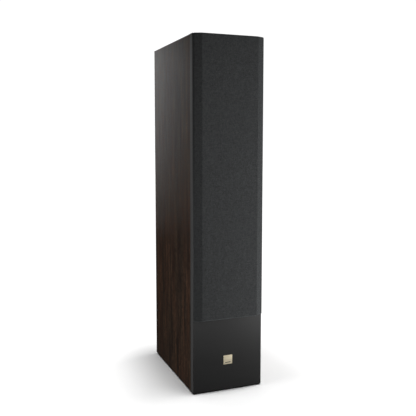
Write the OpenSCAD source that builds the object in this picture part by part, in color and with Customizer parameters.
// Floorstanding loudspeaker: veneered cabinet, black front baffle, pull-off cloth grille, four drive
// units with a ribbon, two rear ports, screw terminals and a crossover.
// Z points up, the front faces -Y, and the origin is the centre of the footprint on the floor.

/* [Cabinet] */
// Width of the cabinet
cabinet_w = 240; // [240:1:260]
// Depth from the face of the front baffle to the rear face
cabinet_d = 416; // [400:1:430]
// Overall height with the feet
overall_h = 1141; // [1141:1:1160]
// Thickness of the sides, top, bottom and back
wall_t = 18; // [16:1:18]
// Thickness of the visible part of the front baffle
baffle_t = 24; // [24:1:26]
// Thickness of the lamination behind the front baffle
lamination_t = 18; // [16:1:20]
// Chamfer along the outer edges of the cabinet
edge_chamfer = 1.2; // [0.5:0.1:2]
// Height of the rubber feet
foot_h = 4; // [3:0.5:5]

/* [Grille] */
// Height of the grille's lower edge above the floor
grille_bottom_z = 242; // [236:1:246]
// How far the cloth stands in front of the baffle
grille_proud = 16.5; // [15:0.5:18]
// Gap between the back of the grille and the baffle
grille_gap = 1; // [0.8:0.1:1.2]
// Inset of the grille's sides from the cabinet's sides
grille_inset = 1; // [0.5:0.5:2]
// Width of the slanted face along each side
grille_bevel_w = 24; // [20:1:26]
// Depth of the upright side wall behind the slanted face
grille_lip = 5; // [4:0.5:6]
// Thickness of the cloth
cloth_t = 0.8; // [0.6:0.1:1]
// Rounding of the grille's upper and lower edges
grille_edge_r = 5; // [3:0.5:5]
// Width of the bars around the grille frame
grille_bar_w = 22; // [20:1:22]

/* [Drive units] */
// Height of the upper woofer's axis
woofer_1_z = 675; // [673:1:676]
// Height of the lower woofer's axis
woofer_2_z = 447; // [440:1:448]
// Height of the midrange unit's axis
midrange_z = 884; // [883:1:885]
// Height of the middle of the tweeter plate
tweeter_z = 1056; // [1055:1:1058]
// Size of the midrange unit against the woofer
midrange_scale = 0.8; // [0.78:0.01:0.82]

/* [Rear] */
// Height of the upper port
port_upper_z = 690; // [660:1:700]
// Height of the lower port
port_lower_z = 400; // [380:1:420]
// Inside radius of a port
port_r = 30; // [26:1:32]
// Height of the terminal plate's middle
terminal_z = 165; // [150:1:180]
// Distance between neighbouring terminals
terminal_pitch = 38; // [36:1:40]
// How far the terminal caps stand behind the rear face
terminal_proud = 7.5; // [6:0.5:8]

/* [Badge] */
// Width of the badge
badge_w = 31; // [28:1:34]
// Height of the badge
badge_h = 30; // [28:1:34]
// Height of the badge's middle
badge_z = 101.5; // [95:0.5:110]

/* [Hidden] */
$fn = 72;

// Colours
walnut = [0.20, 0.15, 0.11];
satin_black = [0.13, 0.13, 0.13];
cloth_grey = [0.16, 0.165, 0.17];
champagne = [0.72, 0.66, 0.55];

// Planes of the cabinet
total_d = grille_proud + cabinet_d + terminal_proud;
grille_front_y = -total_d / 2;
baffle_y = grille_front_y + grille_proud;
side_front_y = baffle_y + baffle_t;
inner_front_y = side_front_y + lamination_t;
back_y = baffle_y + cabinet_d;
inner_back_y = back_y - wall_t;
half_w = cabinet_w / 2;
inner_half_w = half_w - wall_t;
inner_low_z = foot_h + wall_t;
inner_top_z = overall_h - wall_t;
brace_t = 12;
chamber_floor_z = (woofer_1_z + midrange_z) / 2 + 7;
chamber_back_y = 60;
brace_zs = [240, (woofer_1_z + woofer_2_z) / 2];
cable_hole = [-84, -60, 5];

// Drive units, as radii and depths of the woofer; the midrange scales them
flange_r = 110;
flange_t = 5;
seat_r = 99.2;
seat_depth = 2;
cut_r = 99;
lip_r = 82;
roll_mid_r = 88;
roll_r = 6;
rubber_t = 1.2;
coil_r = 25.1;
former_t = 0.5;
winding_t = 0.8;
cone_neck_depth = 46;
cone_t = 0.9;
dust_cap_r = 34;
dust_cap_rise = 9;
spider_depth = 58;
spider_r = 65;
plate_depth = 72;
magnet_depth = 80;
yoke_depth = 100;
screw_circle_r = 104.6;
screw_count = 6;
screw_r = 2;
screw_hole_r = 2.2;
screw_head_r = 3.6;
screw_head_h = 2.6;
counterbore = [3.8, 2.8];

// Tweeter plate, with the dome below and the ribbon above its middle
tweeter_w = 132;
tweeter_h = 150;
tweeter_t = 4;
tweeter_corner = 14;
dome_dy = -38;
ribbon_dy = 32;
dome_r = 14;
dome_hole_r = 17;
tweeter_magnet_r = 36;
ribbon_box = [46, 62, 26];
ribbon_slot = [12, 48, 12];
tweeter_screws = [for (x = [-1, 1], y = [-1, 0, 1]) [x * 57, y * 60]];

// Grille pins and the windows of its frame
pin_r = 4;
pin_len = 11;
pin_x = 107;
pin_zs = [grille_bottom_z + 14, (woofer_1_z + woofer_2_z) / 2, (woofer_1_z + midrange_z) / 2 + 10,
    overall_h - 15];
socket_r = 7;
socket_depth = 12;
pin_clearance = 0.05;
cross_bar_w = 16;
bar_inner_x = half_w - grille_inset - grille_bar_w;
bar_zs = [brace_zs[1], (woofer_1_z + midrange_z) / 2 + 10, 977.5];
window_edges = concat([grille_bottom_z + 20], [for (z = bar_zs) each [z - cross_bar_w / 2, z + cross_bar_w / 2]],
    [overall_h - 20]);

// Terminals
terminal_flange = [110, 120, 3];
tray = [86, 90, 19.5];
tray_wall = 3;
stud_r = 4;
socket_bore_r = 2;
socket_bore_len = 20;
cap_len = 18;
cap_r = 8.5;
cap_rib = 0.6;
cap_ribs = 20;
terminal_places = [for (z = [-1, 1], x = [-1, 1]) [x * terminal_pitch / 2, z * terminal_pitch / 2]];

// Feet and threaded inserts
foot_r = 13;
foot_inset = 25;
insert_at = [85, 155];
insert_r = 5.5;
insert_len = 14;
insert_hole_r = 3.4;

// Crossover
board = [150, 200, 1.6];
board_z = inner_low_z + 6;
board_top_z = board_z + board[2];

// Cables inside the cabinet, each a list of points from the crossover to what it feeds
cable_r = 1.8;
cable_routes = [
    [[-60, -80, 34], [-78, -72, 80], [-84, -60, 200], [-80, -66, 330], [-76, -98, 388], [-64.5, -145, 408.5]],
    [[-52, -80, 34], [-74, -64, 90], [-84, -50, 240], [-84, -50, 540], [-76, -92, 616], [-64.5, -145, 636.5]],
    [[-44, -80, 34], [-70, -56, 90], [-83, -60, 250], [-84, -60, 792], [-66, -96, 830], [-51.5, -156, 853]],
    [[-36, -80, 34], [-66, -50, 90], [-80, -58, 260], [-82, -62, 700], [-86, -62, 792], [-70, -80, 940],
        [-44, -150, 1016]],
    [[19, 60, 34], [30, 120, 60], [26, 165, 110], [19, 182, 140]]
];
cable_steps = 3;

function unit(v) = v / norm(v);

// Points of a rounded corner at b, between the neighbours a and c
function rounded_corner(a, b, c, r, steps = 6) =
    let (u = unit(a - b),
         w = unit(c - b),
         half = acos(u * w) / 2,
         centre = b + unit(u + w) * r / sin(half),
         p = b + u * r / tan(half) - centre,
         q = b + w * r / tan(half) - centre,
         start = atan2(p.y, p.x),
         turn = (atan2(q.y, q.x) - start + 540) % 360 - 180)
    [for (i = [0:steps]) centre + r * [cos(start + turn * i / steps), sin(start + turn * i / steps)]];

// Outline of the grille seen from above, shrunk by t on its front and sides and carried back by behind
function grille_outline(t, behind = 0) =
    let (side_x = half_w - grille_inset - t,
         back = baffle_y - grille_gap + behind,
         front = grille_front_y + t,
         lip_y = baffle_y - grille_gap - grille_lip,
         slant = [-grille_bevel_w, grille_front_y - lip_y],
         out = unit([-slant.y, slant.x]),
         reach = out * [half_w - grille_inset, lip_y] - t,
         lip_end = [side_x, (reach - out.x * side_x) / out.y],
         front_end = [(reach - out.y * front) / out.x, front],
         right = concat(
             [[side_x, back]],
             rounded_corner([side_x, back], lip_end, front_end, max(4 - t, 0.3)),
             rounded_corner(lip_end, front_end, [0, front], 6 - t)))
    concat(right, [for (i = [len(right) - 1:-1:0]) [-right[i].x, right[i].y]]);

// Depth of the front of a cone at radius r
function cone_depth(r, s) =
    let (f = (lip_r * s - 5 * s - r) / (lip_r * s - 5 * s - coil_r * s))
    seat_depth + 0.9 + (cone_neck_depth * s - seat_depth) * pow(max(f, 0), 1.15);

// A smooth curve through hand-placed points
function spline_point(p, i, t) =
    let (a = p[max(i - 1, 0)],
         b = p[i],
         c = p[i + 1],
         d = p[min(i + 2, len(p) - 1)])
    0.5 * (2 * b + (c - a) * t + (2 * a - 5 * b + 4 * c - d) * t * t + (3 * b - a - 3 * c + d) * t * t * t);
function smooth_route(p, steps) =
    concat([for (i = [0:len(p) - 2], k = [0:steps - 1]) spline_point(p, i, k / steps)], [p[len(p) - 1]]);

// Puts flat work on the front: x across, y up and z into the cabinet
module on_front(x, z) {
    translate([x, baffle_y, z]) rotate([90, 0, 0]) mirror([0, 0, 1]) children();
}

// Puts flat work on the back: x across, y up and z into the cabinet
module on_back(x, z) {
    translate([x, back_y, z]) rotate([90, 0, 0]) children();
}

module rounded_plate(w, h, r, t) {
    linear_extrude(t) {
        square([w - 2 * r, h], center = true);
        square([w, h - 2 * r], center = true);
        for (x = [-1, 1], y = [-1, 1]) translate([x * (w / 2 - r), y * (h / 2 - r)]) circle(r);
    }
}

module box_between(low, high) {
    translate(low) cube(high - low);
}

module ring(outer, inner, low, high) {
    rotate_extrude() translate([inner, low]) square([outer - inner, high - low]);
}

module screw_places(s = 1) {
    for (i = [0:screw_count - 1]) {
        rotate([0, 0, 30 + i * 360 / screw_count]) translate([screw_circle_r * s, 0, 0]) children();
    }
}

module screw_hole(depth) {
    translate([0, 0, -1]) cylinder(r = screw_hole_r, h = depth + 1);
    translate([0, 0, -1]) cylinder(r = counterbore[0], h = counterbore[1] + 1);
}

module screw(length) {
    translate([0, 0, 0.2]) difference() {
        union() {
            cylinder(r = screw_head_r, h = screw_head_h);
            cylinder(r = screw_r, h = length);
        }
        translate([0, 0, -1]) cylinder(r = 1.7, h = 2.6, $fn = 6);
    }
}

// ---- Cabinet ----

// Cross-section of one veneered side, mitred into the top and the bottom
module side_panel() {
    c = edge_chamfer;
    low = foot_h;
    difference() {
        translate([0, back_y, 0]) rotate([90, 0, 0]) linear_extrude(back_y - side_front_y) polygon([
            [inner_half_w, inner_low_z], [half_w - c / 2, low + c / 2], [half_w, low + c],
            [half_w, overall_h - c], [half_w - c / 2, overall_h - c / 2], [inner_half_w, inner_top_z]
        ]);
        translate([half_w, back_y, 0]) rotate([0, 0, 45]) cube([c * sqrt(2), c * sqrt(2), 3 * overall_h], center = true);
    }
}

module side_panels() {
    color(walnut) for (side = [0, 1]) mirror([side, 0, 0]) side_panel();
}

// Cross-section of the top, mitred into the sides; the bottom is its mirror image
module mitred_board(outer_z, inner_z) {
    c = edge_chamfer;
    up = sign(outer_z - inner_z);
    translate([0, back_y, 0]) rotate([90, 0, 0]) linear_extrude(back_y - side_front_y) polygon([
        [inner_half_w, inner_z], [half_w - c / 2, outer_z - up * c / 2], [half_w - c, outer_z],
        [-half_w + c, outer_z], [-half_w + c / 2, outer_z - up * c / 2], [-inner_half_w, inner_z]
    ]);
}

module top_and_bottom_panels() {
    color(walnut) mitred_board(overall_h, inner_top_z);
    color(walnut) difference() {
        mitred_board(foot_h, inner_low_z);
        for (x = [-1, 1], y = [-1, 1]) {
            translate([x * insert_at.x, y * insert_at.y, foot_h - 1]) cylinder(r = insert_r, h = insert_len + 1);
        }
    }
}

module back_panel() {
    color(satin_black) difference() {
        box_between([-inner_half_w, inner_back_y, inner_low_z], [inner_half_w, back_y, inner_top_z]);
        for (z = [port_upper_z, port_lower_z]) on_back(0, z) {
            translate([0, 0, -1]) cylinder(r = port_r + 3.2, h = wall_t + 2);
        }
        on_back(0, terminal_z) {
            translate([0, 0, -1]) rounded_plate(tray.x + 7, tray.y + 7, 8, wall_t + 2);
            for (x = [-1, 1], y = [-1, 1]) translate([x * 48, y * 53, -1]) cylinder(r = screw_hole_r, h = 15);
        }
    }
}

// Rebates, cut-outs and screw holes for the drive units
module drive_unit_cuts() {
    for (unit = [[woofer_1_z, 1], [woofer_2_z, 1], [midrange_z, midrange_scale]]) on_front(0, unit[0]) {
        translate([0, 0, -1]) cylinder(r = flange_r * unit[1] + 0.2, h = flange_t + 1);
        translate([0, 0, -1]) cylinder(r = cut_r * unit[1] + 0.2, h = baffle_t + 1);
        cylinder(r = 94 * unit[1], h = baffle_t + lamination_t + 1);
        screw_places(unit[1]) cylinder(r = screw_hole_r, h = 20);
    }
    on_front(0, tweeter_z) {
        translate([0, 0, -1]) rounded_plate(tweeter_w + 0.4, tweeter_h + 0.4, tweeter_corner, tweeter_t + 1);
        translate([0, dome_dy, 0]) cylinder(r = tweeter_magnet_r + 1, h = 60);
        translate([0, ribbon_dy, 30]) cube([ribbon_box.x + 2, ribbon_box.y + 1, 60], center = true);
        for (p = tweeter_screws) translate([p.x, p.y, 0]) cylinder(r = screw_hole_r, h = 20);
    }
}

module front_baffle() {
    color(satin_black) difference() {
        box_between([-half_w, baffle_y, foot_h], [half_w, side_front_y, overall_h]);
        // Chamfers along the front edges
        for (x = [-1, 1]) translate([x * half_w, baffle_y, 0]) rotate([0, 0, 45]) {
            cube([edge_chamfer * sqrt(2), edge_chamfer * sqrt(2), 3 * overall_h], center = true);
        }
        translate([0, baffle_y, overall_h]) rotate([45, 0, 0]) {
            cube([2 * cabinet_w, edge_chamfer * sqrt(2), edge_chamfer * sqrt(2)], center = true);
        }
        drive_unit_cuts();
        // Sockets of the grille and the badge's recess
        for (x = [-1, 1], z = pin_zs) on_front(x * pin_x, z) {
            translate([0, 0, -1]) cylinder(r = socket_r, h = socket_depth + 1);
        }
        on_front(0, badge_z) translate([0, 0, -1]) rounded_plate(badge_w + 1.6, badge_h + 1.6, 1.6, 1.8);
    }
}

module baffle_lamination() {
    color("tan") difference() {
        box_between([-inner_half_w, side_front_y, inner_low_z], [inner_half_w, inner_front_y, inner_top_z]);
        drive_unit_cuts();
    }
}

module midrange_enclosure() {
    color("tan") difference() {
        union() {
            box_between([-inner_half_w, inner_front_y, chamber_floor_z],
                [inner_half_w, chamber_back_y, chamber_floor_z + brace_t]);
            box_between([-inner_half_w, chamber_back_y - brace_t, chamber_floor_z],
                [inner_half_w, chamber_back_y, inner_top_z]);
        }
        translate([cable_hole.x, cable_hole.y, chamber_floor_z - 1]) cylinder(r = cable_hole.z, h = brace_t + 2);
    }
}

module window_braces() {
    color("tan") for (z = brace_zs) difference() {
        box_between([-inner_half_w, inner_front_y, z - brace_t / 2], [inner_half_w, inner_back_y, z + brace_t / 2]);
        for (x = [-1, 1], y = [-80, 95]) translate([x * 50, y, z - brace_t]) {
            rounded_plate(82, 145, 18, 2 * brace_t);
        }
    }
}

module damping_pads() {
    color("ivory") for (x = [-1, 1], z = [[258, 528], [594, 764]]) {
        translate([x * (inner_half_w - 12), 65, (z[0] + z[1]) / 2]) rotate([0, 90, 0]) translate([0, 0, -10]) {
            rounded_plate(z[1] - z[0], 190, 12, 20);
        }
    }
}

module foot_inserts() {
    color("goldenrod") for (x = [-1, 1], y = [-1, 1]) translate([x * insert_at.x, y * insert_at.y, foot_h]) {
        ring(insert_r, insert_hole_r, 0, insert_len);
    }
}

module rubber_feet() {
    color("dimgray") for (x = [-1, 1], y = [side_front_y, back_y - foot_inset]) {
        translate([x * (half_w - foot_inset), y, 0]) rotate_extrude() polygon([
            [0, 0.8], [5, 0.8], [6, 0], [foot_r - 1, 0], [foot_r, 1], [foot_r, foot_h], [0, foot_h]
        ]);
    }
}

// ---- Ports ----

module port_tube(z) {
    flare = 8;
    length = 137;
    r = port_r;
    color("black") on_back(0, z) rotate_extrude() polygon(concat(
        [[r + 16, 0], [r + 16, -1.5], [r + 14.5, -3]],
        [for (a = [0:15:90]) [r + flare - flare * sin(a), flare - 3 - flare * cos(a)]],
        [[r, length], [r + 3, length], [r + 3, 0]]
    ));
}

module port_tubes() {
    port_tube(port_upper_z);
    port_tube(port_lower_z);
}

// ---- Terminals ----

module terminal_plate() {
    color("black") on_back(0, terminal_z) difference() {
        union() {
            translate([0, 0, -terminal_flange.z]) {
                rounded_plate(terminal_flange.x, terminal_flange.y, 10, terminal_flange.z);
            }
            rounded_plate(tray.x + 2 * tray_wall, tray.y + 2 * tray_wall, 8, tray.z + tray_wall);
        }
        translate([0, 0, -10]) rounded_plate(tray.x, tray.y, 6, tray.z + 10);
        for (p = terminal_places) translate([p.x, p.y, 0]) cylinder(r = stud_r + 0.2, h = 60);
        for (x = [-1, 1], y = [-1, 1]) translate([x * 48, y * 53, -terminal_flange.z]) screw_hole(10);
    }
}

module terminal_studs() {
    color("gold") on_back(0, terminal_z) for (p = terminal_places) translate([p.x, p.y, 0]) {
        difference() {
            union() {
                translate([0, 0, 1 - terminal_proud]) cylinder(r = stud_r, h = 39);
                translate([0, 0, tray.z - 7.5]) cylinder(r = 7, h = 7.5);
                translate([0, 0, tray.z + tray_wall]) cylinder(r = 7, h = 3.5, $fn = 6);
            }
            translate([0, 0, -terminal_proud]) cylinder(r = socket_bore_r, h = socket_bore_len + 1);
        }
    }
}

module terminal_links() {
    color("gold") on_back(0, terminal_z) for (x = [-1, 1]) translate([x * terminal_pitch / 2, 0, 10.8]) {
        difference() {
            rounded_plate(13, terminal_pitch + 13, 6.4, 1.2);
            for (y = [-1, 1]) translate([0, y * terminal_pitch / 2, -1]) cylinder(r = stud_r + 0.3, h = 4);
        }
    }
}

module terminal_cap(i) {
    p = terminal_places[i];
    color(i % 2 == 0 ? "black" : "firebrick") on_back(p.x, terminal_z + p.y) {
        translate([0, 0, -terminal_proud]) difference() {
            union() {
                cylinder(r = cap_r - cap_rib, h = cap_len);
                translate([0, 0, 2]) linear_extrude(cap_len - 6) polygon([
                    for (k = [0:2 * cap_ribs - 1]) let (r = cap_r - (k % 2) * cap_rib)
                        r * [cos(k * 180 / cap_ribs), sin(k * 180 / cap_ribs)]
                ]);
            }
            translate([0, 0, -1]) cylinder(r = stud_r + 0.06, h = cap_len + 2);
        }
    }
}

// ---- Crossover ----

module crossover_board() {
    color("darkgreen") {
        translate([0, 0, board_z + board.z / 2]) cube(board, center = true);
        for (x = [-1, 1], y = [-1, 1]) translate([x * 68, y * 93, inner_low_z]) ring(4, 1.6, 0, 6);
    }
}

module crossover_inductors() {
    color("chocolate") for (c = [[-40, 55, 27, 30], [42, 50, 24, 26], [40, -10, 19, 22]]) {
        translate([c[0], c[1], board_top_z]) {
            ring(c[2], c[2] * 0.5, 3, c[3] - 3);
            ring(c[2] + 2, c[2] * 0.42, 0, 3);
            ring(c[2] + 2, c[2] * 0.42, c[3] - 3, c[3]);
            ring(c[2] * 0.5, c[2] * 0.42, 3, c[3] - 3);
        }
    }
}

module crossover_capacitors() {
    color("navy") for (c = [[-45, 5, 15, 48], [-48, -22, 12, 42], [-2, 12, 12, 40], [0, -20, 10, 36]]) {
        translate([c[0] - c[3] / 2, c[1], board_top_z + c[2]]) rotate([0, 90, 0]) cylinder(r = c[2], h = c[3]);
    }
}

module crossover_resistors() {
    color("white") for (i = [0:3]) translate([-30 + i * 26, -60, board_top_z + 5]) cube([10, 48, 10], center = true);
}

module cable(route) {
    sides = 8;
    path = smooth_route(route, cable_steps);
    last = len(path) - 1;
    points = [
        for (i = [0:last])
            let (along = unit(path[min(i + 1, last)] - path[max(i - 1, 0)]),
                 u = unit(cross(along, [1, 0.3, 0.2])),
                 v = cross(along, u))
            for (k = [0:sides - 1]) path[i] + cable_r * (u * cos(k * 360 / sides) + v * sin(k * 360 / sides))
    ];
    walls = [
        for (i = [0:last - 1], k = [0:sides - 1])
            let (n = (k + 1) % sides)
            [i * sides + k, (i + 1) * sides + k, (i + 1) * sides + n, i * sides + n]
    ];
    ends = [[for (k = [0:sides - 1]) k], [for (k = [sides - 1:-1:0]) last * sides + k]];
    polyhedron(points = points, faces = concat(walls, ends));
}

module internal_wiring() {
    color("firebrick") for (route = cable_routes) cable(route);
}

// ---- Cone drive units; s is the size against the woofer, and z is the depth behind the baffle's face ----

module basket(z, s) {
    color([0.1, 0.1, 0.1]) on_front(0, z) difference() {
        rotate_extrude() polygon([
            [seat_r * s, 0], [flange_r * s, 0], [flange_r * s, flange_t], [98.5 * s, flange_t], [97 * s, 14 * s],
            [66 * s, 66 * s], [66 * s, plate_depth * s], [34 * s, plate_depth * s], [34 * s, plate_depth * s - 3],
            [62 * s, plate_depth * s - 3], [62 * s, 64 * s], [93 * s, 12 * s], [93 * s, seat_depth],
            [seat_r * s, seat_depth]
        ]);
        for (i = [0:5]) rotate([0, 0, 60 * i]) translate([50 * s, -19 * s, 17 * s]) {
            cube([70 * s, 38 * s, 36 * s]);
        }
        screw_places(s) screw_hole(30);
    }
}

module surround(z, s) {
    inner_roll = roll_r * s - rubber_t;
    foot_angle = asin(rubber_t / (roll_r * s));
    top = seat_depth - rubber_t;
    color([0.07, 0.07, 0.07]) on_front(0, z) rotate_extrude() polygon(concat(
        [[(seat_r - 0.2) * s, top]],
        [for (i = [0:16]) let (a = foot_angle + i * (180 - 2 * foot_angle) / 16)
            [roll_mid_r * s + roll_r * s * cos(a), seat_depth - roll_r * s * sin(a)]],
        [[(lip_r - 5) * s, top], [(lip_r - 5) * s, seat_depth]],
        [for (i = [0:16]) let (a = 180 - i * 180 / 16)
            [roll_mid_r * s + inner_roll * cos(a), seat_depth - inner_roll * sin(a)]],
        [[(seat_r - 0.2) * s, seat_depth]]
    ));
}

module cone(z, s) {
    steps = 8;
    outer = (lip_r - 5) * s;
    neck = coil_r * s;
    rs = [for (i = [0:steps]) outer + (neck - outer) * i / steps];
    color([0.19, 0.17, 0.16]) on_front(0, z) rotate_extrude() polygon(concat(
        [[lip_r * s, seat_depth], [outer, seat_depth]],
        [for (r = rs) [r, cone_depth(r, s)]],
        [for (i = [steps:-1:0]) [rs[i], cone_depth(rs[i], s) + cone_t + 0.4]],
        [[outer + 1.5, seat_depth + cone_t], [lip_r * s, seat_depth + cone_t]]
    ));
}

module dust_cap(z, s) {
    r = dust_cap_r * s;
    rise = dust_cap_rise * s;
    ball = (r * r + rise * rise) / (2 * rise);
    rim = cone_depth(r, s) - 0.9;
    xs = [for (i = [0:12]) r * i / 12];
    color([0.17, 0.15, 0.14]) on_front(0, z) rotate_extrude() polygon(concat(
        [for (x = xs) [x, rim + ball - rise - sqrt(ball * ball - x * x)]],
        [for (i = [12:-1:0]) [xs[i], rim + ball - rise - sqrt(ball * ball - xs[i] * xs[i]) + 0.8]]
    ));
}

module voice_coil(z, s) {
    color("peru") on_front(0, z) {
        ring(coil_r * s, coil_r * s - former_t, cone_neck_depth * s, 92 * s);
        ring(coil_r * s + winding_t, coil_r * s, 68 * s, 84 * s);
    }
}

module spider(z, s) {
    steps = 36;
    waves = 6;
    low = coil_r * s + 0.1;
    high = spider_r * s;
    function wave(i) = spider_depth * s - 1.2 * sin(360 * waves * i / steps) * min(1, 4 * i / steps, 4 - 4 * i / steps);
    color("goldenrod") on_front(0, z) rotate_extrude() polygon(concat(
        [for (i = [0:steps]) [low + (high - low) * i / steps, wave(i)]],
        [for (i = [steps:-1:0]) [low + (high - low) * i / steps, wave(i) + 0.6]]
    ));
}

module yoke(z, s) {
    pole_r = coil_r * s - former_t - 0.6;
    color("silver") on_front(0, z) {
        ring(50 * s, coil_r * s + winding_t + 0.7, plate_depth * s, magnet_depth * s);
        rotate_extrude() polygon([
            [6 * s, plate_depth * s], [pole_r, plate_depth * s], [pole_r, yoke_depth * s], [52 * s, yoke_depth * s],
            [52 * s, yoke_depth * s + 4], [50 * s, yoke_depth * s + 6], [6 * s, yoke_depth * s + 6]
        ]);
    }
}

module magnet(z, s) {
    color([0.2, 0.2, 0.2]) on_front(0, z) ring(60 * s, 33 * s, magnet_depth * s, yoke_depth * s);
}

// ---- Tweeter ----

module tweeter_plate() {
    color([0.1, 0.1, 0.1]) on_front(0, tweeter_z) difference() {
        rounded_plate(tweeter_w, tweeter_h, tweeter_corner, tweeter_t);
        translate([0, dome_dy, 0]) rotate_extrude() polygon([
            [0, -1], [33, -1], [32, 0], [dome_hole_r, 2.6], [dome_hole_r, 10], [0, 10]
        ]);
        translate([0, ribbon_dy, 0]) cube([15, 50, 20], center = true);
        translate([0, ribbon_dy, 0]) cube([22, 56, 2.4], center = true);
        for (p = tweeter_screws) translate([p.x, p.y, 0]) screw_hole(10);
    }
}

module tweeter_magnet() {
    color([0.2, 0.2, 0.2]) on_front(0, tweeter_z + dome_dy) difference() {
        translate([0, 0, tweeter_t]) ring(tweeter_magnet_r, 3, 0, 28);
        ring(dome_r + 1.1, dome_r - 0.8, 0, 14);
    }
}

module tweeter_dome() {
    ball = 19;
    rise = ball - sqrt(ball * ball - dome_r * dome_r);
    rim = 1.8;
    xs = [for (i = [0:10]) dome_r * i / 10];
    color([0.12, 0.12, 0.12]) on_front(0, tweeter_z + dome_dy) rotate_extrude() polygon(concat(
        [for (x = xs) [x, rim + ball - rise - sqrt(ball * ball - x * x)]],
        [for (a = [0:30:180]) [dome_r + 1.25 - 1.25 * cos(a), rim - 0.9 * sin(a)]],
        [[dome_r + 2.5, rim + 0.5], [dome_r, rim + 0.5]],
        [for (i = [10:-1:0]) [xs[i], rim + ball - rise - sqrt(ball * ball - xs[i] * xs[i]) + 0.5]]
    ));
}

module tweeter_voice_coil() {
    color("peru") on_front(0, tweeter_z + dome_dy) ring(dome_r + 0.5, dome_r - 0.2, 2.3, 9);
}

module ribbon_housing() {
    color("dimgray") on_front(0, tweeter_z + ribbon_dy) difference() {
        translate([0, 0, tweeter_t + ribbon_box.z / 2]) cube(ribbon_box, center = true);
        translate([0, 0, tweeter_t]) cube([ribbon_slot.x, ribbon_slot.y, 2 * ribbon_slot.z], center = true);
    }
}

module ribbon() {
    pleats = 22;
    length = ribbon_slot.y - 2;
    depth = 9;
    function fold(i) = depth + (i % 2 == 0 ? -0.5 : 0.5);
    color("silver") on_front(0, tweeter_z + ribbon_dy) rotate([90, 0, 90]) linear_extrude(10, center = true) {
        polygon(concat(
            [for (i = [0:pleats]) [(i / pleats - 0.5) * length, fold(i)]],
            [for (i = [pleats:-1:0]) [(i / pleats - 0.5) * length, fold(i) + 0.3]]
        ));
    }
}

module mounting_screws() {
    color([0.15, 0.15, 0.15]) {
        for (unit = [[woofer_1_z, 1], [woofer_2_z, 1], [midrange_z, midrange_scale]]) {
            on_front(0, unit[0]) screw_places(unit[1]) screw(18);
        }
        on_front(0, tweeter_z) for (p = tweeter_screws) translate([p.x, p.y, 0]) screw(18);
        on_back(0, terminal_z) for (x = [-1, 1], y = [-1, 1]) {
            translate([x * 48, y * 53, -terminal_flange.z]) screw(15);
        }
    }
}

// ---- Grille ----

// The whole grille shrunk by t and carried back by behind, with its upper and lower edges rounded
module grille_block(t, behind = 0) {
    r = grille_edge_r - t;
    turns = [for (a = [0:15:90]) [t + r * (1 - sin(a)), r * (1 - cos(a))]];
    rows = concat(
        [for (w = turns) [w[0], grille_bottom_z + t + w[1]]],
        [for (i = [len(turns) - 1:-1:0]) [turns[i][0], overall_h - t - turns[i][1]]]
    );
    n = len(grille_outline(0));
    points = [for (row = rows) each [for (p = grille_outline(row[0], behind)) [p.x, p.y, row[1]]]];
    walls = [
        for (j = [0:len(rows) - 2], k = [0:n - 1])
            let (m = (k + 1) % n)
            [j * n + k, j * n + m, (j + 1) * n + m, (j + 1) * n + k]
    ];
    ends = [[for (k = [n - 1:-1:0]) k], [for (k = [0:n - 1]) (len(rows) - 1) * n + k]];
    polyhedron(points = points, faces = concat(walls, ends));
}

// The two upright bars of the grille's frame
module grille_stiles() {
    color("black") for (side = [0, 1]) mirror([side, 0, 0]) intersection() {
        grille_block(cloth_t);
        box_between([bar_inner_x, -total_d, 0], [cabinet_w, 0, 2 * overall_h]);
    }
}

// The five level bars between them
module grille_rails() {
    edges = concat([0], window_edges, [2 * overall_h]);
    color("black") for (i = [0:len(edges) / 2 - 1]) intersection() {
        grille_block(cloth_t);
        box_between([-bar_inner_x, -total_d, edges[2 * i]], [bar_inner_x, 0, edges[2 * i + 1]]);
    }
}

// The pins that hold the grille in its sockets
module grille_pins() {
    color("black") for (x = [-1, 1], z = pin_zs) on_front(x * pin_x, z) translate([0, 0, -grille_gap]) {
        cylinder(r = pin_r, h = pin_len);
    }
}

module grille_cloth() {
    color(cloth_grey) difference() {
        grille_block(0);
        grille_block(cloth_t, 5);
    }
}

module grille_sockets() {
    color("dimgray") for (x = [-1, 1], z = pin_zs) on_front(x * pin_x, z) difference() {
        cylinder(r = socket_r, h = socket_depth);
        translate([0, 0, -1]) cylinder(r = pin_r + pin_clearance, h = socket_depth);
    }
}

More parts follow.
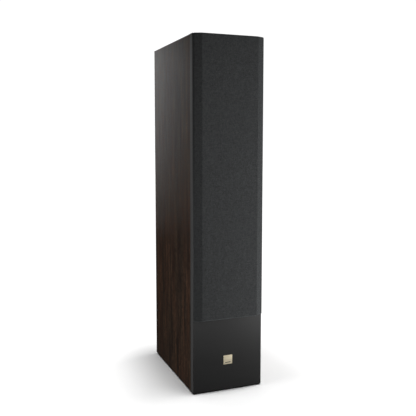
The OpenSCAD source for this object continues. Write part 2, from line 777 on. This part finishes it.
module badge() {
    color(champagne) on_front(0, badge_z) translate([0, 0, -0.6]) rounded_plate(badge_w, badge_h, 1, 1.4);
}

side_panels();
top_and_bottom_panels();
back_panel();
front_baffle();
baffle_lamination();
midrange_enclosure();
window_braces();
damping_pads();
foot_inserts();
rubber_feet();
port_tubes();
terminal_plate();
terminal_studs();
terminal_links();
terminal_cap(0);  // terminal_cap_1
terminal_cap(1);  // terminal_cap_2
terminal_cap(2);  // terminal_cap_3
terminal_cap(3);  // terminal_cap_4
crossover_board();
crossover_inductors();
crossover_capacitors();
crossover_resistors();
internal_wiring();
basket(woofer_1_z, 1);  // woofer_1_basket
magnet(woofer_1_z, 1);  // woofer_1_magnet
yoke(woofer_1_z, 1);  // woofer_1_yoke
cone(woofer_1_z, 1);  // woofer_1_cone
surround(woofer_1_z, 1);  // woofer_1_surround
dust_cap(woofer_1_z, 1);  // woofer_1_dust_cap
voice_coil(woofer_1_z, 1);  // woofer_1_voice_coil
spider(woofer_1_z, 1);  // woofer_1_spider
basket(woofer_2_z, 1);  // woofer_2_basket
magnet(woofer_2_z, 1);  // woofer_2_magnet
yoke(woofer_2_z, 1);  // woofer_2_yoke
cone(woofer_2_z, 1);  // woofer_2_cone
surround(woofer_2_z, 1);  // woofer_2_surround
dust_cap(woofer_2_z, 1);  // woofer_2_dust_cap
voice_coil(woofer_2_z, 1);  // woofer_2_voice_coil
spider(woofer_2_z, 1);  // woofer_2_spider
basket(midrange_z, midrange_scale);  // midrange_basket
magnet(midrange_z, midrange_scale);  // midrange_magnet
yoke(midrange_z, midrange_scale);  // midrange_yoke
cone(midrange_z, midrange_scale);  // midrange_cone
surround(midrange_z, midrange_scale);  // midrange_surround
dust_cap(midrange_z, midrange_scale);  // midrange_dust_cap
voice_coil(midrange_z, midrange_scale);  // midrange_voice_coil
spider(midrange_z, midrange_scale);  // midrange_spider
tweeter_plate();
tweeter_magnet();
tweeter_dome();
tweeter_voice_coil();
ribbon_housing();
ribbon();
mounting_screws();
grille_stiles();
grille_rails();
grille_pins();
grille_cloth();
grille_sockets();
badge();
